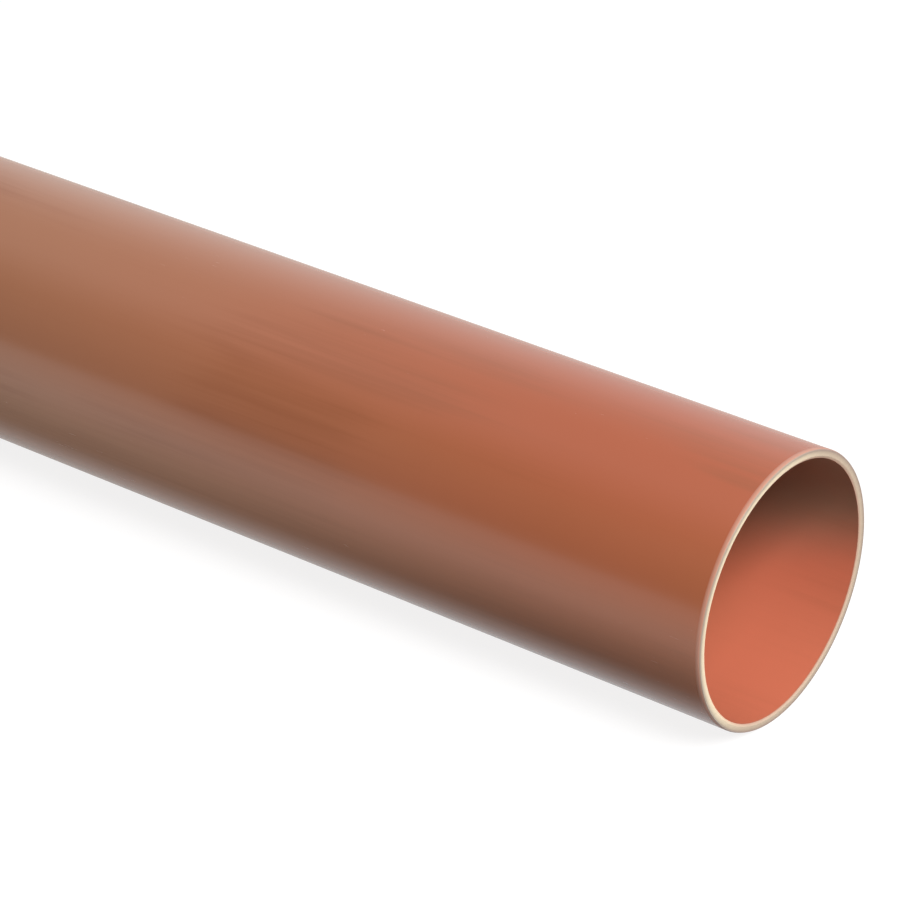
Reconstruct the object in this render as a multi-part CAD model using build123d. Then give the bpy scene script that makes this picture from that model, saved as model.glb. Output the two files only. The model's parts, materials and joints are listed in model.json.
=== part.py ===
"""Foam core PVC sewer pipe, DN 110: one cut length with a plain, dressed edge at both ends.

The wall was extruded in three layers: a hard brown skin outside, a pale foamed core, and a
hard brown skin inside. The pipe lies along X on the floor plane Z = 0, with the middle of
its length over the origin. All sizes are in millimetres.
"""
from build123d import *
import math
import os

# The pipe
OUTER_DIAMETER = 110.0
WALL = 3.6
LENGTH = 1000.0

# The layers of the wall
OUTER_SKIN = 0.6
INNER_SKIN = 0.6

# The dressed edges of both cut ends
OUTER_EDGE_RADIUS = 2.0
OUTER_EDGE_DROP = 0.4
INNER_BEVEL_WIDTH = 0.9
INNER_BEVEL_DEPTH = 0.45

# What follows from them
OUTER_RADIUS = OUTER_DIAMETER / 2
BORE_RADIUS = OUTER_RADIUS - WALL
CORE_OUTER_RADIUS = OUTER_RADIUS - OUTER_SKIN
CORE_INNER_RADIUS = BORE_RADIUS + INNER_SKIN
HALF_LENGTH = LENGTH / 2

# The profiles are drawn in the upright plane through the pipe's axis, which lies along X
# at this height: x runs along the pipe, and y is the distance from the axis.
PROFILE_PLANE = Plane(origin=(0, 0, OUTER_RADIUS), x_dir=(1, 0, 0), z_dir=(0, -1, 0))
PIPE_AXIS = Axis((0, 0, OUTER_RADIUS), (1, 0, 0))


def turned(profile_edges):
    """Revolve a closed profile about the pipe's axis."""
    face = make_face(PROFILE_PLANE * Wire(profile_edges))
    return revolve(face, PIPE_AXIS, 360)


def outer_skin():
    """The outside skin. An arc tangent to its surface rounds the edge of each cut end."""
    drop = min(OUTER_EDGE_DROP, 0.9 * OUTER_SKIN)
    reach = math.sqrt(drop * (2 * OUTER_EDGE_RADIUS - drop))
    face_radius = OUTER_RADIUS - drop
    tangent_x = HALF_LENGTH - reach
    outside = Line((-tangent_x, OUTER_RADIUS), (tangent_x, OUTER_RADIUS))
    right_edge = RadiusArc((tangent_x, OUTER_RADIUS), (HALF_LENGTH, face_radius), OUTER_EDGE_RADIUS)
    right_face = Line((HALF_LENGTH, face_radius), (HALF_LENGTH, CORE_OUTER_RADIUS))
    inside = Line((HALF_LENGTH, CORE_OUTER_RADIUS), (-HALF_LENGTH, CORE_OUTER_RADIUS))
    left_face = Line((-HALF_LENGTH, CORE_OUTER_RADIUS), (-HALF_LENGTH, face_radius))
    left_edge = RadiusArc((-HALF_LENGTH, face_radius), (-tangent_x, OUTER_RADIUS), OUTER_EDGE_RADIUS)
    return turned([outside, right_edge, right_face, inside, left_face, left_edge])


def squared_ring(inner_radius, outer_radius):
    """A ring of the pipe's full length, cut square at both ends."""
    corners = [
        (-HALF_LENGTH, inner_radius),
        (HALF_LENGTH, inner_radius),
        (HALF_LENGTH, outer_radius),
        (-HALF_LENGTH, outer_radius),
    ]
    return turned(Polyline(*corners, close=True).edges())


def mouth_cut(end_x):
    """What the deburring knife takes out of the mouth at one end, as a flat cone round the bore."""
    width = min(INNER_BEVEL_WIDTH, 0.5 * WALL)
    bevel_back = end_x - math.copysign(INNER_BEVEL_DEPTH, end_x)
    corners = [(end_x, 0), (end_x, BORE_RADIUS + width), (bevel_back, BORE_RADIUS), (bevel_back, 0)]
    return turned(Polyline(*corners, close=True).edges())


def deburred(ring):
    """Bevel the inside of a ring at both ends."""
    return ring - mouth_cut(HALF_LENGTH) - mouth_cut(-HALF_LENGTH)


def foam_core():
    """The foamed layer, flush with the skins. The bevel of the mouth reaches its inner edge."""
    return deburred(squared_ring(CORE_INNER_RADIUS, CORE_OUTER_RADIUS))


def inner_skin():
    """The skin of the bore, bevelled through at each mouth."""
    return deburred(squared_ring(BORE_RADIUS, CORE_INNER_RADIUS))


os.makedirs("parts", exist_ok=True)
LAYERS = {
    "outer_skin": outer_skin(),
    "foam_core": foam_core(),
    "inner_skin": inner_skin(),
}
for name, solid in LAYERS.items():
    export_step(solid, f"parts/{name}.step")
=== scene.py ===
import json
import logging
import math
from dataclasses import dataclass
from enum import Enum

import bmesh
import bpy
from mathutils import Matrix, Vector, noise


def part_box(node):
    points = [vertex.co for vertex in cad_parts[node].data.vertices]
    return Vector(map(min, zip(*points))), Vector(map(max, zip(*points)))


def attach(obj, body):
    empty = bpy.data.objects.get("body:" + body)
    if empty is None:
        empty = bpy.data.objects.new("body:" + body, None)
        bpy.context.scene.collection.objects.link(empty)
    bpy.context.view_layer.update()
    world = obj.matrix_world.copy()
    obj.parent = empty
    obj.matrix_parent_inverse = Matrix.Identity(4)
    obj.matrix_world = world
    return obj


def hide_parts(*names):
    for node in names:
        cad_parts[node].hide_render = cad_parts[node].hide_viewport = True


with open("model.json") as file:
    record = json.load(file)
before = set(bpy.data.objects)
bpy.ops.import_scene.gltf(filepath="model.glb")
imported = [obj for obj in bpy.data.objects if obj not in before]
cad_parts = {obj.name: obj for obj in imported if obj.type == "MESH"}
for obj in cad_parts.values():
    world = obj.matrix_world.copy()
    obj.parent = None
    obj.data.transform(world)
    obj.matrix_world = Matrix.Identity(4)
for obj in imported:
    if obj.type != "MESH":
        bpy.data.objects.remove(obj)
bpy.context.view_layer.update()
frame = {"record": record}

MM = 0.001
LOG = logging.getLogger("sewer_pipe")

Place = tuple[float, float, float]
Span = tuple[float, float]
Tint = tuple[float, float, float]
Colour = tuple[float, float, float, float]


class Input(Enum):
    """Sockets of the surface shader that the finishes link."""

    COLOUR = "Base Color"
    ROUGHNESS = "Roughness"
    NORMAL = "Normal"


class Slot(Enum):
    """The record's material slots."""

    SKIN = "skin"
    CORE = "core"


@dataclass(frozen=True)
class WallSizes:
    """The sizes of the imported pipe, in metres, that every piece and finish follows.

    Attributes:
        half_length: Half of the pipe's length, from the origin to a cut face.
        axis_height: Height of the pipe's axis over the floor, its outer radius.
        skin_inside: Radius where the outer skin meets the core.
        core_inside: Radius where the core meets the inner skin.
        bore: Radius of the open bore.
    """

    half_length: float
    axis_height: float
    skin_inside: float
    core_inside: float
    bore: float

    @classmethod
    def from_frame(cls) -> "WallSizes":
        """Read the sizes from the frame's nodes and from the record's bore mount.

        Returns:
            The wall's sizes as packed.
        """
        low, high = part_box("outer_skin")
        core_low, core_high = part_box("foam_core")
        lining_low, lining_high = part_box("inner_skin")
        bore = next(mount for mount in frame["record"]["mounts"] if mount["name"] == "bore")
        return cls(
            half_length=(high.x - low.x) / 2,
            axis_height=(high.z - low.z) / 2,
            skin_inside=(core_high.z - core_low.z) / 2,
            core_inside=(lining_high.z - lining_low.z) / 2,
            bore=bore["dims"]["r_mm"] * MM,
        )


class Graph:
    """A node tree with short calls that add, set and link its nodes."""

    def __init__(self, tree: bpy.types.NodeTree) -> None:
        """Keep the tree that the calls build."""
        self.tree = tree

    def add(
        self, kind: str, inputs: dict[str | int, object] | None = None, **settings: object
    ) -> bpy.types.Node:
        """Add a node.

        Args:
            kind: The node's type, without the word ShaderNode in front.
            inputs: What feeds its inputs, by name or index.
            **settings: Properties to set on the node.

        Returns:
            The new node.
        """
        name = kind if kind.startswith("NodeGroup") else "ShaderNode" + kind
        node = self.tree.nodes.new(name)
        for key, value in settings.items():
            setattr(node, key, value)
        for socket, value in (inputs or {}).items():
            self.feed(node, socket, value)
        return node

    def join(self, source: bpy.types.NodeSocket, target: bpy.types.NodeSocket) -> None:
        """Link an output to an input."""
        self.tree.links.new(source, target)

    def feed(self, node: bpy.types.Node, socket: str | int, value: object) -> None:
        """Link or set one input.

        Args:
            node: The node that has the input.
            socket: The input's name or index.
            value: An output to link from, or a plain value to set.
        """
        if isinstance(value, bpy.types.NodeSocket):
            self.join(value, node.inputs[socket])
        else:
            node.inputs[socket].default_value = value

    def math(self, operation: str, *values: object, clamp: bool = False) -> bpy.types.NodeSocket:
        """Add a Math node.

        Args:
            operation: The operation's name in Blender.
            *values: Its inputs, each an output to link or a number.
            clamp: Whether the result stays between 0 and 1.

        Returns:
            The node's result.
        """
        return self.add("Math", dict(enumerate(values)), operation=operation, use_clamp=clamp).outputs[0]

    def span(self, value: object, low: object, high: object, smooth: bool = True) -> bpy.types.NodeSocket:
        """Turn a range of a value into a mask from 0 to 1.

        Args:
            value: What is measured.
            low: Where the mask is 0.
            high: Where the mask is 1.
            smooth: Whether the mask eases in and out.

        Returns:
            The mask.
        """
        kind = "SMOOTHSTEP" if smooth else "LINEAR"
        inputs = {"Value": value, "From Min": low, "From Max": high}
        return self.add("MapRange", inputs, interpolation_type=kind, clamp=True).outputs["Result"]

    def blend(self, factor: object, first: object, second: object) -> bpy.types.NodeSocket:
        """Mix two colours. The node's sockets go by index, because their names repeat.

        Args:
            factor: How much of the second colour there is.
            first: The first colour.
            second: The second colour.

        Returns:
            The mixed colour.
        """
        inputs = {0: factor, 6: first, 7: second}
        return self.add("Mix", inputs, data_type="RGBA", blend_type="MIX", clamp_factor=True).outputs[2]

    def noise(
        self, vector: object, scale: object, detail: float = 2.0, roughness: float = 0.5
    ) -> bpy.types.NodeSocket:
        """Add a noise texture.

        Args:
            vector: The coordinates that it reads.
            scale: Its scale, in features per metre.
            detail: Its number of octaves.
            roughness: How strong the finer octaves are.

        Returns:
            The noise, from 0 to 1.
        """
        inputs = {"Vector": vector, "Scale": scale, "Detail": detail, "Roughness": roughness}
        return self.add("TexNoise", inputs, noise_dimensions="3D").outputs["Fac"]

    def lay(
        self, vector: object, shift: Place = (0.0, 0.0, 0.0), turn: Place = (0.0, 0.0, 0.0),
        stretch: Place = (1.0, 1.0, 1.0),
    ) -> bpy.types.NodeSocket:
        """Shift, turn and stretch coordinates.

        Args:
            vector: The coordinates.
            shift: What is added to them.
            turn: Their turn about X, Y and Z, in degrees.
            stretch: Their factor along X, Y and Z.

        Returns:
            The new coordinates.
        """
        angles = tuple(math.radians(angle) for angle in turn)
        inputs = {"Vector": vector, "Location": shift, "Rotation": angles, "Scale": stretch}
        return self.add("Mapping", inputs, vector_type="POINT").outputs["Vector"]

    def split(self, vector: bpy.types.NodeSocket) -> tuple[bpy.types.NodeSocket, ...]:
        """Part coordinates.

        Args:
            vector: The coordinates.

        Returns:
            X, Y and Z.
        """
        return tuple(self.add("SeparateXYZ", {"Vector": vector}).outputs)

    def ramp(self, value: object, stops: tuple[tuple[float, Tint], ...]) -> bpy.types.NodeSocket:
        """Colour a value by a row of stops.

        Args:
            value: The value, from 0 to 1.
            stops: Each stop's position and colour.

        Returns:
            The colour.
        """
        node = self.add("ValToRGB", {"Fac": value})
        elements = node.color_ramp.elements
        while len(elements) < len(stops):
            elements.new(0.5)
        for element, (position, colour) in zip(elements, stops):
            element.position = position
            element.color = (*colour, 1.0)
        return node.outputs["Color"]

    def bump(
        self, height: object, strength: float, distance: float, under: object = None
    ) -> bpy.types.NodeSocket:
        """Turn a height into a normal.

        Args:
            height: The height, from 0 to 1.
            strength: The share of the bump that shows.
            distance: The height of a full step, in metres.
            under: A normal to lay the bump on.

        Returns:
            The bumped normal.
        """
        inputs = {"Height": height, "Strength": strength, "Distance": distance}
        if under is not None:
            inputs["Normal"] = under
        return self.add("Bump", inputs).outputs["Normal"]


class Effect:
    """A shader node group that several finishes share, built once.

    In the effects a scale is in features per metre, a stretch holds factors that draw a pattern out
    along X, Y and Z, and a range holds the values at which a pattern starts and at which it is full.

    Attributes:
        name: The group's name.
        inputs: Its inputs, each with its usual value.
        outputs: Its outputs, each with its kind of socket.
    """

    name = "effect"
    inputs: dict[str, float] = {}
    outputs: dict[str, str] = {}

    def __init__(self, sizes: WallSizes) -> None:
        """Build the group.

        Args:
            sizes: The sizes of the wall that it is for.
        """
        self.sizes = sizes
        self.tree = bpy.data.node_groups.new(self.name, "ShaderNodeTree")
        sockets = self.tree.interface
        for label, value in self.inputs.items():
            socket = sockets.new_socket(name=label, in_out="INPUT", socket_type="NodeSocketFloat")
            socket.default_value = value
        for label, kind in self.outputs.items():
            sockets.new_socket(name=label, in_out="OUTPUT", socket_type=kind)
        self.graph = Graph(self.tree)
        self.entry = self.graph.add("NodeGroupInput")
        self.exit = self.graph.add("NodeGroupOutput")
        self.wire()

    def wire(self) -> None:
        """Lay the group's nodes from its inputs to its outputs."""
        raise NotImplementedError

    def give(self, **results: bpy.types.NodeSocket) -> None:
        """Link results to the group's outputs.

        Args:
            **results: Each output's result, by the output's name.
        """
        for label, result in results.items():
            self.graph.join(result, self.exit.inputs[label])

    def place(self, graph: Graph, **values: object) -> bpy.types.Node:
        """Put the group into a material.

        Args:
            graph: The material's graph.
            **values: Inputs to set or link, with a low line for each space.

        Returns:
            The group's node.
        """
        inputs = {key.replace("_", " "): value for key, value in values.items()}
        return graph.add("Group", inputs, node_tree=self.tree)


class WallPlaces(Effect):
    """Where a point of the wall is, and whether it is on a cut face.

    Depth runs from 0 outside to 1 in the bore. Height is over the axis, and Setback is the distance
    behind the nearer cut face, both in metres.

    Attributes:
        middle: The depth that parts the wall's outer half from its inner one.
        crisp: The setback up to which a cut face has all of its colour.
        outer_reach: Where that colour ends in the outer half, over the rounded edge.
        inner_reach: Where it ends in the inner half.
        bevel_reach: The setbacks between which the mouth's bevel takes that colour.
        bevel_lift: The distances off the bore's surface between which it does.
    """

    name = "wall_places"
    outputs = dict.fromkeys(("Depth", "Height", "Setback", "Cut"), "NodeSocketFloat")
    middle = 0.5
    crisp = 0.04 * MM
    outer_reach = 0.55 * MM
    inner_reach = 0.10 * MM
    bevel_reach = (0.60 * MM, 0.50 * MM)
    bevel_lift = (0.02 * MM, 0.06 * MM)

    def wire(self) -> None:
        """Measure the point's distance from the pipe's axis and from the nearer cut face."""
        graph = self.graph
        sizes = self.sizes
        place = graph.add("TexCoord").outputs["Object"]
        along, across, height = graph.split(graph.lay(place, shift=(0.0, 0.0, -sizes.axis_height)))
        squares = (graph.math("MULTIPLY", part, part) for part in (across, height))
        radius = graph.math("SQRT", graph.math("ADD", *squares))
        depth = graph.span(radius, sizes.axis_height, sizes.bore, smooth=False)
        setback = graph.math("SUBTRACT", sizes.half_length, graph.math("ABSOLUTE", along))
        outer_half = graph.math("LESS_THAN", depth, self.middle)
        more = self.outer_reach - self.inner_reach
        reach = graph.math("MULTIPLY_ADD", outer_half, more, self.inner_reach)
        flat = graph.span(setback, reach, self.crisp)
        off_the_bore = graph.span(radius, *(sizes.bore + lift for lift in self.bevel_lift))
        bevel = graph.math("MULTIPLY", graph.span(setback, *self.bevel_reach), off_the_bore)
        mouth = graph.math("MULTIPLY", bevel, graph.math("GREATER_THAN", depth, self.middle))
        cut = graph.math("MAXIMUM", flat, mouth)
        self.give(Depth=depth, Height=height, Setback=setback, Cut=cut)


class DrawnSurface(Effect):
    """What the die and the cooling bath leave on a skin.

    Lines and broader bands run along the pipe, patchily. The clouds, the peel and the ripples are even.

    Attributes:
        between_patches: How much of the lines and bands is left between the patches.
    """

    name = "drawn_surface"
    inputs = {"Line Scale": 420.0, "Cloud Scale": 9.0}
    outputs = dict.fromkeys(("Lines", "Bands", "Clouds", "Peel", "Ripples"), "NodeSocketFloat")
    line_stretch = (0.012, 1.0, 1.0)
    band_stretch = (0.035, 1.0, 1.0)
    cloud_stretch = (0.35, 1.0, 1.0)
    ripple_stretch = (1.0, 0.22, 0.22)
    patch_scale = 17.0
    patch_range = (0.42, 0.60)
    between_patches = 0.6
    band_scale = 150.0
    peel_scale = 900.0
    ripple_scale = 60.0

    def wire(self) -> None:
        """Sample noise that is drawn out along X for the lines, and even for the rest."""
        graph = self.graph
        place = graph.add("TexCoord").outputs["Object"]
        drawn = graph.lay(place, stretch=self.line_stretch)
        broad = graph.lay(place, stretch=self.band_stretch)
        slow = graph.lay(place, stretch=self.cloud_stretch)
        pulled = graph.lay(place, stretch=self.ripple_stretch)
        patches = graph.span(graph.noise(slow, self.patch_scale), *self.patch_range)
        patches = graph.math("MULTIPLY_ADD", patches, 1.0 - self.between_patches, self.between_patches)
        lines = graph.noise(drawn, self.entry.outputs["Line Scale"], 4.0, 0.62)
        bands = graph.noise(broad, self.band_scale, 3.0, 0.6)
        self.give(
            Lines=graph.math("MULTIPLY", lines, patches),
            Bands=graph.math("MULTIPLY", bands, patches),
            Clouds=graph.noise(slow, self.entry.outputs["Cloud Scale"], 3.0, 0.55),
            Peel=graph.noise(place, self.peel_scale),
            Ripples=graph.noise(pulled, self.ripple_scale, 2.0, 0.45),
        )


class ColourWave(Effect):
    """A slow wave of colour along the pipe, which clouds break up a little.

    Attributes:
        uneven_by: How far the clouds shift the wave along the pipe, from least to most, in metres.
    """

    name = "colour_wave"
    inputs = {"Crest": 0.10, "Wavelength": 0.74}
    outputs = {"Faded": "NodeSocketFloat"}
    cloud_scale = 11.0
    uneven_by = 0.04

    def wire(self) -> None:
        """Turn the distance from the crest into a wave from 1 there to 0 half a wavelength away."""
        graph = self.graph
        place = graph.add("TexCoord").outputs["Object"]
        clouds = graph.noise(place, self.cloud_scale)
        uneven = graph.math("MULTIPLY_ADD", clouds, self.uneven_by, -self.uneven_by / 2)
        from_crest = graph.math("SUBTRACT", graph.split(place)[0], self.entry.outputs["Crest"])
        turns = graph.math("DIVIDE", graph.math("ADD", from_crest, uneven), self.entry.outputs["Wavelength"])
        phase = graph.math("MULTIPLY", turns, math.tau)
        self.give(Faded=graph.math("MULTIPLY_ADD", graph.math("COSINE", phase), 0.5, 0.5, clamp=True))


class HandlingWear(Effect):
    """Fine scuffs from stacking and carrying, as a mask.

    Attributes:
        slant: The scuffs' turn about X, Y and Z, in degrees.
        patch_edge: How softly the patches that they keep to start.
    """

    name = "handling_wear"
    inputs = {"Scuff Scale": 770.0, "Spread": 0.5}
    outputs = {"Scuffs": "NodeSocketFloat"}
    slant = (0.0, 7.0, -11.0)
    stretch = (0.09, 1.0, 1.0)
    scuff_range = (0.66, 0.74)
    patch_scale = 14.0
    patch_edge = 0.12

    def wire(self) -> None:
        """Break long thin noise up with patches, so that the scuffs are rare and uneven."""
        graph = self.graph
        place = graph.add("TexCoord").outputs["Object"]
        slanted = graph.lay(place, turn=self.slant, stretch=self.stretch)
        thin = graph.noise(slanted, self.entry.outputs["Scuff Scale"], 5.0, 0.7)
        patches = graph.noise(place, self.patch_scale, 3.0, 0.6)
        limit = graph.math("SUBTRACT", 1.0, self.entry.outputs["Spread"])
        where = graph.span(patches, limit, graph.math("ADD", limit, self.patch_edge))
        self.give(Scuffs=graph.math("MULTIPLY", graph.span(thin, *self.scuff_range), where))


class CutWall(Effect):
    """The colour and the tool marks of the cut end, from the outside of the wall to the bore.

    The wall is darker towards the back and below.

    Attributes:
        bands: The colours of the cut wall from the outside in, as depth and colour.
        back_low_colour: The darker colour towards the back and below.
        back_low_share: How much of it shows there.
        back_low_slope: How much the height counts, beside Y, in the measure that its range is given in.
        saw_tilt: The turn of the saw's lines about X, in degrees.
    """

    name = "cut_wall"
    inputs = {"Depth": 0.5, "Wander": 0.10}
    outputs = {"Colour": "NodeSocketColor", "Marks": "NodeSocketFloat", "Pores": "NodeSocketFloat"}
    bands = (
        (0.22, (0.360, 0.285, 0.220)),
        (0.34, (0.530, 0.440, 0.315)),
        (0.48, (0.650, 0.540, 0.380)),
        (0.70, (0.765, 0.635, 0.445)),
        (0.79, (0.810, 0.630, 0.440)),
        (1.00, (0.760, 0.530, 0.370)),
    )
    wander_scale = 160.0
    back_low_colour = (0.205, 0.108, 0.100, 1.0)
    back_low_share = 0.50
    back_low_slope = -0.5
    back_low_range = (-62 * MM, -22 * MM)
    saw_tilt = 28.0
    saw_stretch = (1.0, 0.08, 1.0)
    saw_scale = 1500.0
    pore_scale = 2600.0
    pore_range = (0.32, 0.12)

    def wire(self) -> None:
        """Lay the colour bands over the wall's depth, and the saw's lines and the foam's pores over them."""
        graph = self.graph
        place = graph.add("TexCoord").outputs["Object"]
        uneven = graph.math("SUBTRACT", graph.noise(place, self.wander_scale, 3.0, 0.6), 0.5)
        depth = graph.math("MULTIPLY_ADD", uneven, self.entry.outputs["Wander"], self.entry.outputs["Depth"])
        sawn = graph.lay(place, turn=(self.saw_tilt, 0.0, 0.0), stretch=self.saw_stretch)
        grid = {"Vector": place, "Scale": self.pore_scale}
        cells = graph.add("TexVoronoi", grid, feature="F1", distance="EUCLIDEAN")
        _, across, height = graph.split(place)
        slant = graph.math("MULTIPLY_ADD", height, self.back_low_slope, across)
        back_low = graph.math("MULTIPLY", graph.span(slant, *self.back_low_range), self.back_low_share)
        shade = graph.blend(back_low, graph.ramp(depth, self.bands), self.back_low_colour)
        marks = graph.noise(sawn, self.saw_scale, 3.0, 0.6)
        self.give(Colour=shade, Marks=marks, Pores=graph.span(cells.outputs["Distance"], *self.pore_range))


@dataclass(frozen=True)
class Effects:
    """The shared node groups."""

    places: WallPlaces
    drawn: DrawnSurface
    drift: ColourWave
    wear: HandlingWear
    cut: CutWall

    @classmethod
    def build(cls, sizes: WallSizes) -> "Effects":
        """Build every shared group once.

        Args:
            sizes: The wall's sizes.

        Returns:
            The groups.
        """
        kinds = (WallPlaces, DrawnSurface, ColourWave, HandlingWear, CutWall)
        return cls(*(kind(sizes) for kind in kinds))


@dataclass(frozen=True)
class SkinFinish:
    """Hard, satin brown PVC of a skin, paler where its edge was dressed and its end was cut, with painted
    shade high up and far from the cut ends.

    Attributes:
        name: The material's name.
        colour: The body colour.
        crest_colour: The colour at the crest of the slow wave along the pipe.
        upper_shade: The colour high up on the surface, a painted shade; in the bore, the lamp's shadow
            inside the mouth.
        clouded: The colour that the soft cloudiness drifts towards.
        streak: The darker colour of the drawn lines, which also serves for the painted shade far from the
            cut ends.
        scuffed: The pale colour of the scuffs.
        dressed: The colour of the scraped edge.
        roughness: The roughness of the clean surface.
        gloss: The level of its mirror reflection, 0.5 for plain PVC.
        cloudiness: How much the clouds show.
        streakiness: How much the drawn lines show.
        upper_shade_rise: The heights over the axis between which the surface turns to its painted upper
            shade.
        upper_shade_lean: How much lower these are for each unit of length away from the cut face, so that
            the painted shade slopes like the lamp's shadow.
        dressed_setback: The distances behind the cut face between which the scraped edge fades out.
        deep_shade: How much a surface is darker away from its cut ends, a painted shade deep in the bore.
        deep_shade_setback: The distances behind the cut face between which that painted shade gets darker.
    """

    name: str
    colour: Colour = (0.412, 0.121, 0.058, 1.0)
    crest_colour: Colour = (0.395, 0.168, 0.090, 1.0)
    # Painted shade: the top of the outside is a little darker.
    upper_shade: Colour = (0.400, 0.100, 0.044, 1.0)
    clouded: Colour = (0.370, 0.113, 0.042, 1.0)
    streak: Colour = (0.280, 0.090, 0.040, 1.0)
    scuffed: Colour = (0.800, 0.620, 0.520, 1.0)
    dressed: Colour = (0.500, 0.230, 0.160, 1.0)
    roughness: float = 0.24
    gloss: float = 0.80
    cloudiness: float = 0.60
    streakiness: float = 0.26
    upper_shade_rise: Span = (30 * MM, 52 * MM)
    upper_shade_lean: float = 0.0
    dressed_setback: Span = (1.2 * MM, 2.2 * MM)
    deep_shade: float = 0.0
    deep_shade_setback: Span = (30 * MM, 60 * MM)

    # The refractive index of hard PVC
    IOR = 1.53
    # The noise at which each pattern starts and at which it is full
    CLOUD_RANGE = (0.35, 0.68)
    BAND_RANGE = (0.40, 0.66)
    LINE_RANGE = (0.30, 0.75)
    # How much of their colour the scuffs show
    SCUFF_TINT = 0.18
    # What each adds to the roughness at most
    ROUGH_CLOUDS = 0.10
    ROUGH_SCUFFS = 0.18
    ROUGH_DRESSED = 0.22
    # The share of the bumps that shows, and their height
    PEEL = (0.10, 0.02 * MM)
    RIDGES = (0.18, 0.05 * MM)
    RIPPLES = (0.25, 0.30 * MM)
    SCRAPES = (0.50, 0.06 * MM)

    def material(self, effects: Effects) -> bpy.types.Material:
        """Build the material.

        Args:
            effects: The shared node groups.

        Returns:
            The finished material.
        """
        material = bpy.data.materials.new(self.name)
        material.use_nodes = True
        material.diffuse_color = self.colour
        graph = Graph(material.node_tree)
        shader = material.node_tree.nodes["Principled BSDF"]
        shader.inputs["IOR"].default_value = self.IOR
        shader.inputs["Specular IOR Level"].default_value = self.gloss
        places = effects.places.place(graph)
        drawn = effects.drawn.place(graph)
        drift = effects.drift.place(graph)
        wear = effects.wear.place(graph)
        cut = effects.cut.place(graph, Depth=places.outputs["Depth"])
        clouds = graph.span(drawn.outputs["Clouds"], *self.CLOUD_RANGE)
        bands = graph.span(drawn.outputs["Bands"], *self.BAND_RANGE)
        lines = graph.math("ADD", graph.span(drawn.outputs["Lines"], *self.LINE_RANGE), bands)
        dressed = graph.span(places.outputs["Setback"], *reversed(self.dressed_setback))
        body = graph.blend(graph.math("MULTIPLY", clouds, self.cloudiness), self.colour, self.clouded)
        # Painted shade: darker high up on the surface; in the bore its edge slopes down away from the cut
        # face, like the lamp's shadow.
        shade_edge_lean = graph.math("MULTIPLY", places.outputs["Setback"], self.upper_shade_lean)
        height = graph.math("ADD", shade_edge_lean, places.outputs["Height"])
        body = graph.blend(graph.span(height, *self.upper_shade_rise), body, self.upper_shade)
        body = graph.blend(drift.outputs["Faded"], body, self.crest_colour)
        # Painted shade: the colour darkens towards the streak colour far from the cut ends, deep in the
        # bore.
        deep_shade_mask = graph.span(places.outputs["Setback"], *self.deep_shade_setback)
        deep_shade_mask = graph.math("MULTIPLY", deep_shade_mask, self.deep_shade)
        dark = graph.math("MULTIPLY_ADD", lines, self.streakiness, deep_shade_mask)
        body = graph.blend(dark, body, self.streak)
        scuffs = graph.math("MULTIPLY", wear.outputs["Scuffs"], self.SCUFF_TINT)
        body = graph.blend(scuffs, body, self.scuffed)
        body = graph.blend(dressed, body, self.dressed)
        body = graph.blend(places.outputs["Cut"], body, cut.outputs["Colour"])
        graph.feed(shader, Input.COLOUR.value, body)
        clearest = self.roughness - self.ROUGH_CLOUDS / 2
        rough = graph.math("MULTIPLY_ADD", drawn.outputs["Clouds"], self.ROUGH_CLOUDS, clearest)
        rough = graph.math("MULTIPLY_ADD", wear.outputs["Scuffs"], self.ROUGH_SCUFFS, rough)
        rough = graph.math("MULTIPLY_ADD", dressed, self.ROUGH_DRESSED, rough)
        graph.feed(shader, Input.ROUGHNESS.value, rough)
        normal = graph.bump(drawn.outputs["Peel"], *self.PEEL)
        normal = graph.bump(drawn.outputs["Lines"], *self.RIDGES, normal)
        normal = graph.bump(drawn.outputs["Ripples"], *self.RIPPLES, normal)
        scrapes = graph.math("MULTIPLY", cut.outputs["Marks"], dressed)
        graph.feed(shader, Input.NORMAL.value, graph.bump(scrapes, *self.SCRAPES, normal))
        return material


OUTSIDE_BROWN = SkinFinish("outside_brown")
# In the bore, painted shade: grey-brown where the lamp's shadow falls high inside the mouth, and darker deep
# inside.
BORE_BROWN = SkinFinish(
    "bore_brown", colour=(0.575, 0.150, 0.084, 1.0), crest_colour=(0.500, 0.150, 0.085, 1.0),
    upper_shade=(0.260, 0.158, 0.103, 1.0), clouded=(0.520, 0.145, 0.080, 1.0), roughness=0.45, gloss=0.35,
    streakiness=0.08, upper_shade_rise=(-18 * MM, 19 * MM), upper_shade_lean=0.30, dressed_setback=(0.5 * MM, 0.9 * MM),
    deep_shade=0.32,
)


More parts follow.
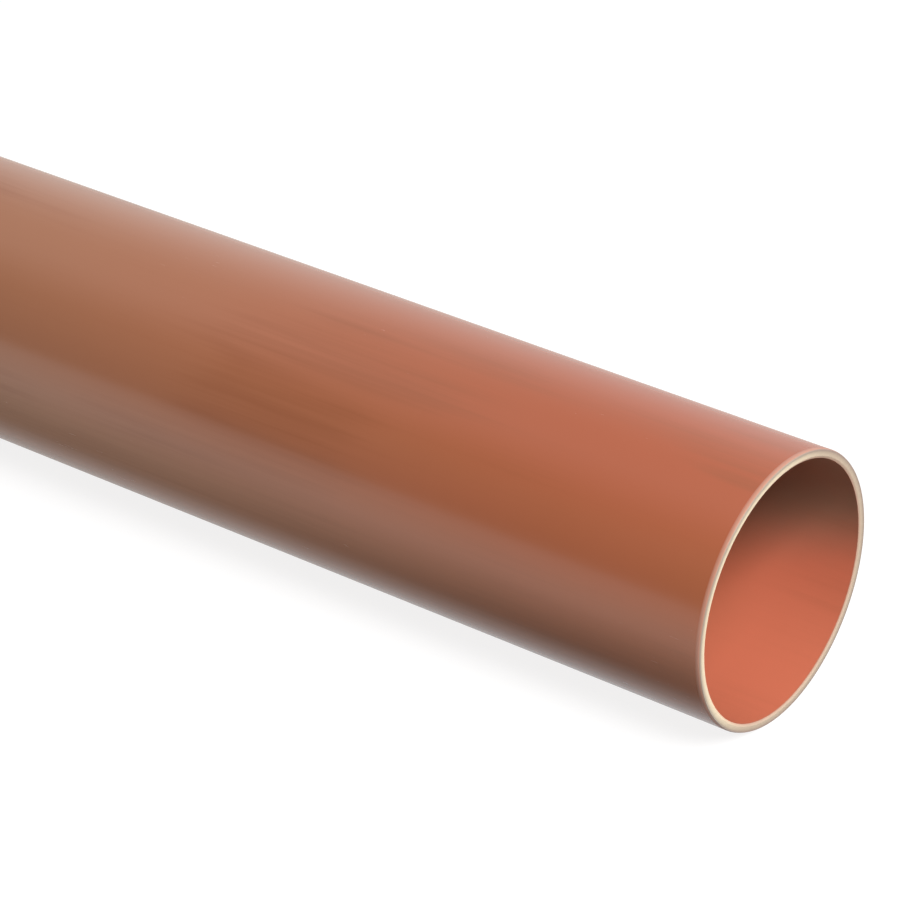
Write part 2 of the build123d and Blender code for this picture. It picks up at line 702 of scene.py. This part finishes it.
@dataclass(frozen=True)
class CoreFinish:
    """The cut foam: matt cream with fine pores and the saw's lines.

    Attributes:
        name: The material's name.
        pore: The colour inside a pore.
        streak: The pale colour of the saw's lines.
        roughness: The roughness of the cut foam.
    """

    name: str = "cut_foam"
    pore: Colour = (0.420, 0.360, 0.230, 1.0)
    streak: Colour = (0.860, 0.760, 0.620, 1.0)
    roughness: float = 0.72

    # The refractive index of foamed PVC
    IOR = 1.45
    # How much of their colours the pores and the saw's lines show
    PORE_TINT = 0.45
    STREAK_TINT = 0.18
    # What the lines add to the roughness at most
    ROUGH_MARKS = 0.15
    # The share of the bumps that shows, and their height
    RELIEF = (0.60, 0.08 * MM)

    def material(self, effects: Effects) -> bpy.types.Material:
        """Build the material.

        Args:
            effects: The shared node groups.

        Returns:
            The finished material.
        """
        material = bpy.data.materials.new(self.name)
        material.use_nodes = True
        material.diffuse_color = self.streak
        graph = Graph(material.node_tree)
        shader = material.node_tree.nodes["Principled BSDF"]
        shader.inputs["IOR"].default_value = self.IOR
        places = effects.places.place(graph)
        cut = effects.cut.place(graph, Depth=places.outputs["Depth"])
        pores = graph.math("MULTIPLY", cut.outputs["Pores"], self.PORE_TINT)
        marks = graph.math("MULTIPLY", cut.outputs["Marks"], self.STREAK_TINT)
        colour = graph.blend(marks, graph.blend(pores, cut.outputs["Colour"], self.pore), self.streak)
        graph.feed(shader, Input.COLOUR.value, colour)
        rough = graph.math("MULTIPLY_ADD", cut.outputs["Marks"], self.ROUGH_MARKS, self.roughness)
        graph.feed(shader, Input.ROUGHNESS.value, rough)
        height = graph.math("SUBTRACT", cut.outputs["Marks"], cut.outputs["Pores"])
        graph.feed(shader, Input.NORMAL.value, graph.bump(height, *self.RELIEF))
        return material


class Pen:
    """Draws an open outline in the upright plane through the pipe's axis, stroke by stroke."""

    def __init__(self, mesh: bmesh.types.BMesh, along: float, radius: float) -> None:
        """Put the pen down at a distance along the pipe and a radius."""
        self.mesh = mesh
        self.tip = mesh.verts.new((along, 0.0, radius))

    def line(self, along: float, radius: float, strokes: int = 1) -> None:
        """Draw a straight line in one or more equal strokes.

        Args:
            along: Where it ends along the pipe.
            radius: Its distance from the axis there.
            strokes: How many strokes it is drawn in.
        """
        start = self.tip.co.copy()
        end = Vector((along, 0.0, radius))
        for stroke in range(strokes):
            self.tip = bmesh.ops.extrude_vert_indiv(self.mesh, verts=[self.tip])["verts"][0]
            self.tip.co = start.lerp(end, (stroke + 1) / strokes)

    def arc(self, radius: float, sweep: float, steps: int) -> None:
        """Draw an arc that starts level and turns down towards the axis.

        Args:
            radius: The arc's own radius.
            sweep: How far it turns.
            steps: How many facets it has.
        """
        centre = self.tip.co - Vector((0.0, 0.0, radius))
        drawn = bmesh.ops.spin(
            self.mesh, geom=[self.tip], cent=centre, axis=(0.0, 1.0, 0.0), angle=sweep, steps=steps,
            use_merge=False, use_normal_flip=False, use_duplicate=False,
        )
        self.tip = drawn["geom_last"][0]


@dataclass(frozen=True)
class CutEnd:
    """The shape of a sawn and deburred end, the same at both ends of the pipe.

    Attributes:
        half_length: From the middle of the pipe to the cut face.
        bore: Radius of the open bore.
        bevel_width: How far the bevel of the mouth runs out from the bore, over the cut face.
        bevel_depth: How far it runs back into the bore.
        round_drop: How far the round of the outer edge drops towards the axis.
        round_reach: How far that round reaches back from the cut face.
    """

    half_length: float
    bore: float
    bevel_width: float = 0.90 * MM
    bevel_depth: float = 0.45 * MM
    round_drop: float = 0.40 * MM
    round_reach: float = 1.20 * MM

    @property
    def foot(self) -> float:
        """The radius at which the bevel meets the flat of the cut face."""
        return self.bore + self.bevel_width

    def reach(self, radius: float) -> float:
        """Tell how far from the middle of the pipe the wall ends at a radius.

        Args:
            radius: The distance from the axis, on the flat or on the bevel.

        Returns:
            The distance along the pipe.
        """
        share = min(max((self.foot - radius) / self.bevel_width, 0.0), 1.0)
        return self.half_length - share * self.bevel_depth


@dataclass(frozen=True)
class Ring:
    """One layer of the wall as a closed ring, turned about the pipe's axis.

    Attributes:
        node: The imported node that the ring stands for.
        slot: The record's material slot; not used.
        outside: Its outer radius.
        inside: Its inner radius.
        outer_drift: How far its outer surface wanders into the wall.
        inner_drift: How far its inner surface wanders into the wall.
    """

    node: str
    slot: Slot
    outside: float
    inside: float
    outer_drift: float = 0.0
    inner_drift: float = 0.0

    # The steps round the axis and over the rounded edge, and those along half of a drawn surface
    STEPS = 256
    ROUND_STEPS = 6
    STATIONS = 60
    # How far behind a cut end the wandering is in full, and its noise in features per metre
    STILL_END = 12 * MM
    WANDER = (9.0, 26.0, 26.0)
    # The sharpest fold that still looks smooth
    CRISP = math.radians(14.0)
    # How near two verts are to be one, and how near a vert is to a surface that it is on
    WELD = 0.001 * MM
    CLOSE = 0.01 * MM

    def build(self, cut: CutEnd, axis_height: float, material: bpy.types.Material) -> bpy.types.Object:
        """Turn the ring's section about the axis and dress it.

        Args:
            cut: The shape of the cut ends.
            axis_height: The height of the pipe's axis over the floor.
            material: The finish of the ring.

        Returns:
            The finished piece, riding on the root body.
        """
        mesh = bmesh.new()
        self._draw_half_section(mesh, cut)
        bmesh.ops.spin(
            mesh, geom=mesh.verts[:] + mesh.edges[:], cent=(0.0, 0.0, 0.0), axis=(1.0, 0.0, 0.0),
            angle=math.tau, steps=self.STEPS, use_merge=True, use_normal_flip=False, use_duplicate=False,
        )
        bmesh.ops.mirror(
            mesh, geom=mesh.verts[:] + mesh.edges[:] + mesh.faces[:], axis="X", merge_dist=self.CLOSE
        )
        bmesh.ops.remove_doubles(mesh, verts=mesh.verts[:], dist=self.WELD)
        bmesh.ops.recalc_face_normals(mesh, faces=mesh.faces[:])
        self._let_drift(mesh, cut.half_length, self.outside, -self.outer_drift)
        self._let_drift(mesh, cut.half_length, self.inside, self.inner_drift)
        bmesh.ops.translate(mesh, vec=(0.0, 0.0, axis_height), verts=mesh.verts[:])
        return self._dress(mesh, material)

    def _draw_half_section(self, mesh: bmesh.types.BMesh, cut: CutEnd) -> None:
        """Draw the section's outline from the middle of the pipe round one cut end and back.

        Args:
            mesh: The empty mesh.
            cut: The shape of the cut end.
        """
        pen = Pen(mesh, 0.0, self.outside)
        if self.outer_drift:
            pen.line(cut.half_length - cut.round_reach, self.outside, self.STATIONS)
            arc_radius = (cut.round_drop ** 2 + cut.round_reach ** 2) / (2 * cut.round_drop)
            pen.arc(arc_radius, math.asin(cut.round_reach / arc_radius), self.ROUND_STEPS)
        else:
            pen.line(cut.reach(self.outside), self.outside)
        if self.inside < cut.foot < self.outside:
            pen.line(cut.half_length, cut.foot)
        pen.line(cut.reach(self.inside), self.inside)
        pen.line(0.0, self.inside, self.STATIONS if self.inner_drift else 1)

    def _let_drift(self, mesh: bmesh.types.BMesh, half_length: float, radius: float, depth: float) -> None:
        """Let a drawn surface wander a little into the wall, but not at the cut ends.

        Args:
            mesh: The turned ring, with its axis on the X axis.
            half_length: Half of the pipe's length.
            radius: The surface's radius.
            depth: How far it wanders at most, below zero towards the axis.
        """
        if not depth:
            return
        for vert in mesh.verts:
            if abs(math.hypot(vert.co.y, vert.co.z) - radius) < self.CLOSE:
                level = 0.5 + 0.5 * noise.noise(Vector(a * b for a, b in zip(vert.co, self.WANDER)))
                still = min((half_length - abs(vert.co.x)) / self.STILL_END, 1.0)
                vert.co.yz *= 1.0 + depth * min(max(level, 0.0), 1.0) * still / radius

    def _dress(self, mesh: bmesh.types.BMesh, material: bpy.types.Material) -> bpy.types.Object:
        """Make the object, with smooth round surfaces and crisp cut edges.

        Args:
            mesh: The finished mesh.
            material: The finish of the ring.

        Returns:
            The object.
        """
        name = self.node + "_turned"
        data = bpy.data.meshes.new(name)
        for face in mesh.faces:
            face.smooth = True
        for edge in mesh.edges:
            edge.smooth = edge.calc_face_angle(0.0) < self.CRISP
        mesh.to_mesh(data)
        mesh.free()
        data.materials.append(material)
        piece = bpy.data.objects.new(name, data)
        bpy.context.scene.collection.objects.link(piece)
        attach(piece, "root")
        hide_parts(self.node)
        return piece


@dataclass(frozen=True)
class SewerPipe:
    """The three layers of the pipe's wall.

    Attributes:
        sizes: The wall's sizes.
        effects: The shared node groups.
        drift: How far the drawn surfaces wander into the wall.
    """

    sizes: WallSizes
    effects: Effects
    drift: float = 0.08 * MM

    def build(self) -> list[bpy.types.Object]:
        """Build and dress every layer.

        Returns:
            The finished pieces.
        """
        sizes = self.sizes
        cut = CutEnd(sizes.half_length, sizes.bore)
        outer_skin = Ring(
            "outer_skin", Slot.SKIN, sizes.axis_height, sizes.skin_inside, outer_drift=self.drift
        )
        foam_core = Ring("foam_core", Slot.CORE, sizes.skin_inside, sizes.core_inside)
        inner_skin = Ring("inner_skin", Slot.SKIN, sizes.core_inside, sizes.bore, inner_drift=self.drift)
        return [
            outer_skin.build(cut, sizes.axis_height, OUTSIDE_BROWN.material(self.effects)),
            foam_core.build(cut, sizes.axis_height, CoreFinish().material(self.effects)),
            inner_skin.build(cut, sizes.axis_height, BORE_BROWN.material(self.effects)),
        ]


def away(azimuth: float, elevation: float) -> Vector:
    """Give the direction from the pipe towards something round it.

    Args:
        azimuth: Its turn round the pipe in degrees, 0 in front, 90 past the open end.
        elevation: Its height over the horizon, in degrees.

    Returns:
        The direction, of length one.
    """
    turn = math.radians(azimuth)
    tilt = math.radians(elevation)
    return Vector((math.sin(turn) * math.cos(tilt), -math.cos(turn) * math.cos(tilt), math.sin(tilt)))


@dataclass(frozen=True)
class Viewpoint:
    """The photograph's camera, as angles, a lens and the place of the open end in the picture.

    Attributes:
        azimuth: Turn round the pipe, 0 looking along +Y, in degrees.
        elevation: Height of the camera over the horizon, in degrees.
        lens: Focal length for a 36 mm wide picture, in millimetres.
        reach: Distance from the camera to the plane of the open end's centre, in metres.
        rim_pixel: The open end's centre in the picture.
        picture: The picture's side, in pixels.
    """

    azimuth: float = 37.25
    elevation: float = 29.53
    lens: float = 161.98
    reach: float = 1.484
    rim_pixel: Span = (784.2, 591.9)
    picture: float = 900.0

    SENSOR = 36.0

    def build(self, sizes: WallSizes) -> bpy.types.Object:
        """Make the camera and give it to the scene.

        Args:
            sizes: The wall's sizes, for the place of the open end.

        Returns:
            The camera.
        """
        data = bpy.data.cameras.new("photo_camera")
        data.lens = self.lens
        data.sensor_width = self.SENSOR
        data.clip_start = 0.01
        data.clip_end = 100.0
        camera = bpy.data.objects.new("photo_camera", data)
        facing = away(self.azimuth, self.elevation).to_track_quat("Z", "Y")
        scale = data.sensor_width / (data.lens * self.picture) * self.reach
        offset = Vector((
            (self.rim_pixel[0] - self.picture / 2) * scale,
            (self.picture / 2 - self.rim_pixel[1]) * scale,
            -self.reach,
        ))
        rim = Vector((sizes.half_length, 0.0, sizes.axis_height))
        camera.rotation_mode = "QUATERNION"
        camera.rotation_quaternion = facing
        camera.location = rim - facing @ offset
        bpy.context.scene.collection.objects.link(camera)
        bpy.context.scene.camera = camera
        return camera


@dataclass(frozen=True)
class Softbox:
    """A soft rectangular lamp on the side of the open end, aimed at the pipe.

    Attributes:
        name: The lamp's name.
        distance: How far it hangs from its aim, in metres.
        power: Its power, in watts.
        shines: Whether the gloss of the pipe mirrors it.
        azimuth: Where it hangs round the pipe, as for the camera, in degrees.
        elevation: Its height over the horizon, in degrees.
        size: Its width and height, in metres.
        aim: The point that it faces.
    """

    name: str
    distance: float
    power: float
    shines: bool
    azimuth: float = 66.0
    elevation: float = 45.0
    size: Span = (1.1, 1.1)
    aim: Place = (0.40, 0.0, 0.05)

    def build(self) -> bpy.types.Object:
        """Hang the lamp.

        Returns:
            The lamp.
        """
        direction = away(self.azimuth, self.elevation)
        data = bpy.data.lights.new(self.name, "AREA")
        data.shape = "RECTANGLE"
        data.size, data.size_y = self.size
        data.energy = self.power
        lamp = bpy.data.objects.new(self.name, data)
        lamp.rotation_mode = "QUATERNION"
        lamp.rotation_quaternion = direction.to_track_quat("Z", "Y")
        lamp.location = Vector(self.aim) + direction * self.distance
        lamp.visible_glossy = self.shines
        bpy.context.scene.collection.objects.link(lamp)
        return lamp


@dataclass(frozen=True)
class Floor:
    """A round, matt floor: grey where it lights the pipe, white where it is seen, and white with a painted
    shadow where it is mirrored.

    Attributes:
        radius: Its radius, in metres.
        matt: The grey that throws light back at the pipe.
        matt_near: The same by the open end.
        seen: The part of the white background that takes the pipe's shadow.
        glow: The part that doesn't.
        mirrored: What the pipe's gloss shows, as distance from the line that the pipe rests on and
            colour. A warm darker band beside the pipe is a painted shadow, where the pipe would shade the
            floor.
        mirrored_near: The same by the open end, where that painted shadow is darker.
        near: The distances along the pipe between which both turn into what they are by the open end.
    """

    radius: float = 12.0
    matt: float = 0.35
    matt_near: float = 0.28
    seen: float = 0.20
    glow: float = 0.85
    mirrored: tuple[tuple[float, Tint], ...] = (
        (0.006, (0.80, 0.80, 0.80)),
        (0.030, (0.74, 0.72, 0.70)),
        (0.043, (0.80, 0.68, 0.62)),
        (0.060, (0.60, 0.45, 0.34)),
        (0.085, (0.86, 0.74, 0.60)),
        (0.150, (1.00, 0.98, 0.92)),
        (0.400, (0.80, 0.78, 0.76)),
    )
    mirrored_near: tuple[tuple[float, Tint], ...] = (
        (0.006, (1.00, 1.00, 1.00)),
        (0.030, (0.84, 0.88, 0.90)),
        (0.043, (0.68, 0.64, 0.62)),
        (0.060, (0.30, 0.26, 0.22)),
        (0.085, (0.50, 0.48, 0.42)),
        (0.150, (1.00, 0.98, 0.92)),
        (0.400, (0.80, 0.78, 0.76)),
    )
    near: Span = (0.18, 0.46)

    SIDES = 96

    def build(self) -> bpy.types.Object:
        """Lay the floor.

        Returns:
            The floor.
        """
        mesh = bmesh.new()
        bmesh.ops.create_circle(mesh, cap_ends=True, cap_tris=False, segments=self.SIDES, radius=self.radius)
        data = bpy.data.meshes.new("studio_floor")
        mesh.to_mesh(data)
        mesh.free()
        data.materials.append(self._material())
        floor = bpy.data.objects.new("studio_floor", data)
        bpy.context.scene.collection.objects.link(floor)
        return floor

    def _material(self) -> bpy.types.Material:
        """Build the floor's material.

        Returns:
            The material.
        """
        material = bpy.data.materials.new("pale_floor")
        material.use_nodes = True
        material.node_tree.nodes.clear()
        graph = Graph(material.node_tree)
        along, across, _ = graph.split(graph.add("TexCoord").outputs["Object"])
        near = graph.span(along, *self.near)
        grey = graph.math("MULTIPLY_ADD", near, self.matt_near - self.matt, self.matt)
        path = graph.add("LightPath").outputs
        lit = self._matt(graph, grey)
        # Painted shadow: the gloss sees an emitted white that darkens beside the pipe.
        white = self._white_with_painted_shadow(graph, across, near)
        unseen = graph.add("MixShader", {0: path["Is Glossy Ray"], 1: lit, 2: white}).outputs[0]
        glow = graph.add("Emission", {"Strength": self.glow}).outputs[0]
        backdrop = graph.add("AddShader", {0: self._matt(graph, self.seen), 1: glow}).outputs[0]
        shown = graph.math("MAXIMUM", path["Is Camera Ray"], path["Is Transmission Ray"])
        mix = graph.add("MixShader", {0: shown, 1: unseen, 2: backdrop})
        graph.add("OutputMaterial", {"Surface": mix.outputs[0]})
        return material

    def _white_with_painted_shadow(
        self, graph: Graph, across: bpy.types.NodeSocket, near: bpy.types.NodeSocket
    ) -> bpy.types.NodeSocket:
        """Add the white that the gloss shows, with a painted shadow near the line that the pipe rests on.

        Args:
            graph: The material's graph.
            across: The distance from that line, below zero in front.
            near: How near the open end is, from 0 to 1.

        Returns:
            The shader's output.
        """
        reach = self.mirrored[-1][0]
        away_from_pipe = graph.math("DIVIDE", graph.math("ABSOLUTE", across), reach)
        beside_far, beside_near = (
            graph.ramp(away_from_pipe, tuple((distance / reach, colour) for distance, colour in stops))
            for stops in (self.mirrored, self.mirrored_near)
        )
        return graph.add("Emission", {"Color": graph.blend(near, beside_far, beside_near)}).outputs[0]

    @staticmethod
    def _matt(graph: Graph, level: object) -> bpy.types.NodeSocket:
        """Add a matt grey.

        Args:
            graph: The material's graph.
            level: How pale it is, as a number or an output.

        Returns:
            The shader's output.
        """
        linked = isinstance(level, bpy.types.NodeSocket)
        colour = level if linked else (level, level, level, 1.0)
        return graph.add("BsdfDiffuse", {"Color": colour}).outputs[0]


@dataclass(frozen=True)
class Room:
    """The room round the floor: white as a background, and graded where it lights or is mirrored.

    Attributes:
        mirrored: What the pipe's gloss shows, as angle over the axis in degrees and brightness: 0 is
            the horizon in front, 90 is overhead and 180 is the backdrop.
        light: What lights the pipe, in the same way.
        level: The strength of that light.
    """

    mirrored: tuple[Span, ...] = (
        (0.0, 0.08), (50.0, 0.08), (82.0, 0.50), (110.0, 0.40), (130.0, 0.55), (150.0, 0.76), (180.0, 0.84),
    )
    light: tuple[Span, ...] = ((78.0, 0.0), (180.0, 1.0))
    level: float = 1.5

    def build(self) -> bpy.types.World:
        """Light the scene with the room.

        Returns:
            The world.
        """
        world = bpy.data.worlds.new("pale_room")
        bpy.context.scene.world = world
        world.use_nodes = True
        world.node_tree.nodes.clear()
        graph = Graph(world.node_tree)
        angle = self._angle(graph)
        path = graph.add("LightPath").outputs
        grade = self._graded(graph, angle, self.light)
        light = graph.add("Background", {"Color": grade, "Strength": self.level}).outputs[0]
        white = (1.0, 1.0, 1.0, 1.0)
        shown = graph.blend(path["Is Camera Ray"], self._graded(graph, angle, self.mirrored), white)
        backdrop = graph.add("Background", {"Color": shown}).outputs[0]
        seen = graph.math("MAXIMUM", path["Is Camera Ray"], path["Is Glossy Ray"])
        seen = graph.math("MAXIMUM", seen, path["Is Transmission Ray"])
        mix = graph.add("MixShader", {0: seen, 1: light, 2: backdrop})
        graph.add("OutputWorld", {"Surface": mix.outputs[0]})
        return world

    @staticmethod
    def _angle(graph: Graph) -> bpy.types.NodeSocket:
        """Measure a direction's angle over the pipe's axis.

        Args:
            graph: The world's graph.

        Returns:
            The angle, from 0 at the horizon in front to 1 at the horizon behind.
        """
        _, back, up = graph.split(graph.add("TexCoord").outputs["Generated"])
        front = graph.math("MULTIPLY", back, -1.0)
        return graph.math("DIVIDE", graph.math("ARCTAN2", up, front), math.pi)

    @staticmethod
    def _graded(graph: Graph, angle: bpy.types.NodeSocket, levels: tuple[Span, ...]) -> bpy.types.NodeSocket:
        """Grade the room's brightness by angle.

        Args:
            graph: The world's graph.
            angle: The angle over the axis, from 0 to 1.
            levels: Angles in degrees, each with its brightness.

        Returns:
            The brightness, as a grey.
        """
        stops = tuple((math.radians(degrees) / math.pi, (level, level, level)) for degrees, level in levels)
        return graph.ramp(angle, stops)


@dataclass(frozen=True)
class Studio:
    """A plain pale floor, a pale room, and two soft lamps.

    The gloss mirrors one lamp, which hangs just in front because the other would hide it.
    """

    floor: Floor = Floor()
    room: Room = Room()
    lamps: tuple[Softbox, ...] = (
        Softbox("open_end_side", distance=2.50, power=70.0, shines=False),
        Softbox("open_end_shine", distance=2.45, power=17.0, shines=True),
    )

    def build(self) -> None:
        """Lay the floor, light the room, hang the lamps, and set how colours are shown."""
        self.floor.build()
        self.room.build()
        for lamp in self.lamps:
            lamp.build()
        bpy.context.scene.view_settings.view_transform = "Standard"


def main() -> None:
    """Build the pipe, the studio and the camera, and report each piece."""
    logging.basicConfig(level=logging.INFO, format="%(name)s: %(message)s")
    sizes = WallSizes.from_frame()
    effects = Effects.build(sizes)
    for piece in SewerPipe(sizes, effects).build():
        LOG.info("%s: %d faces", piece.name, len(piece.data.polygons))
    Studio().build()
    Viewpoint().build(sizes)


if __name__ == "__main__":
    main()
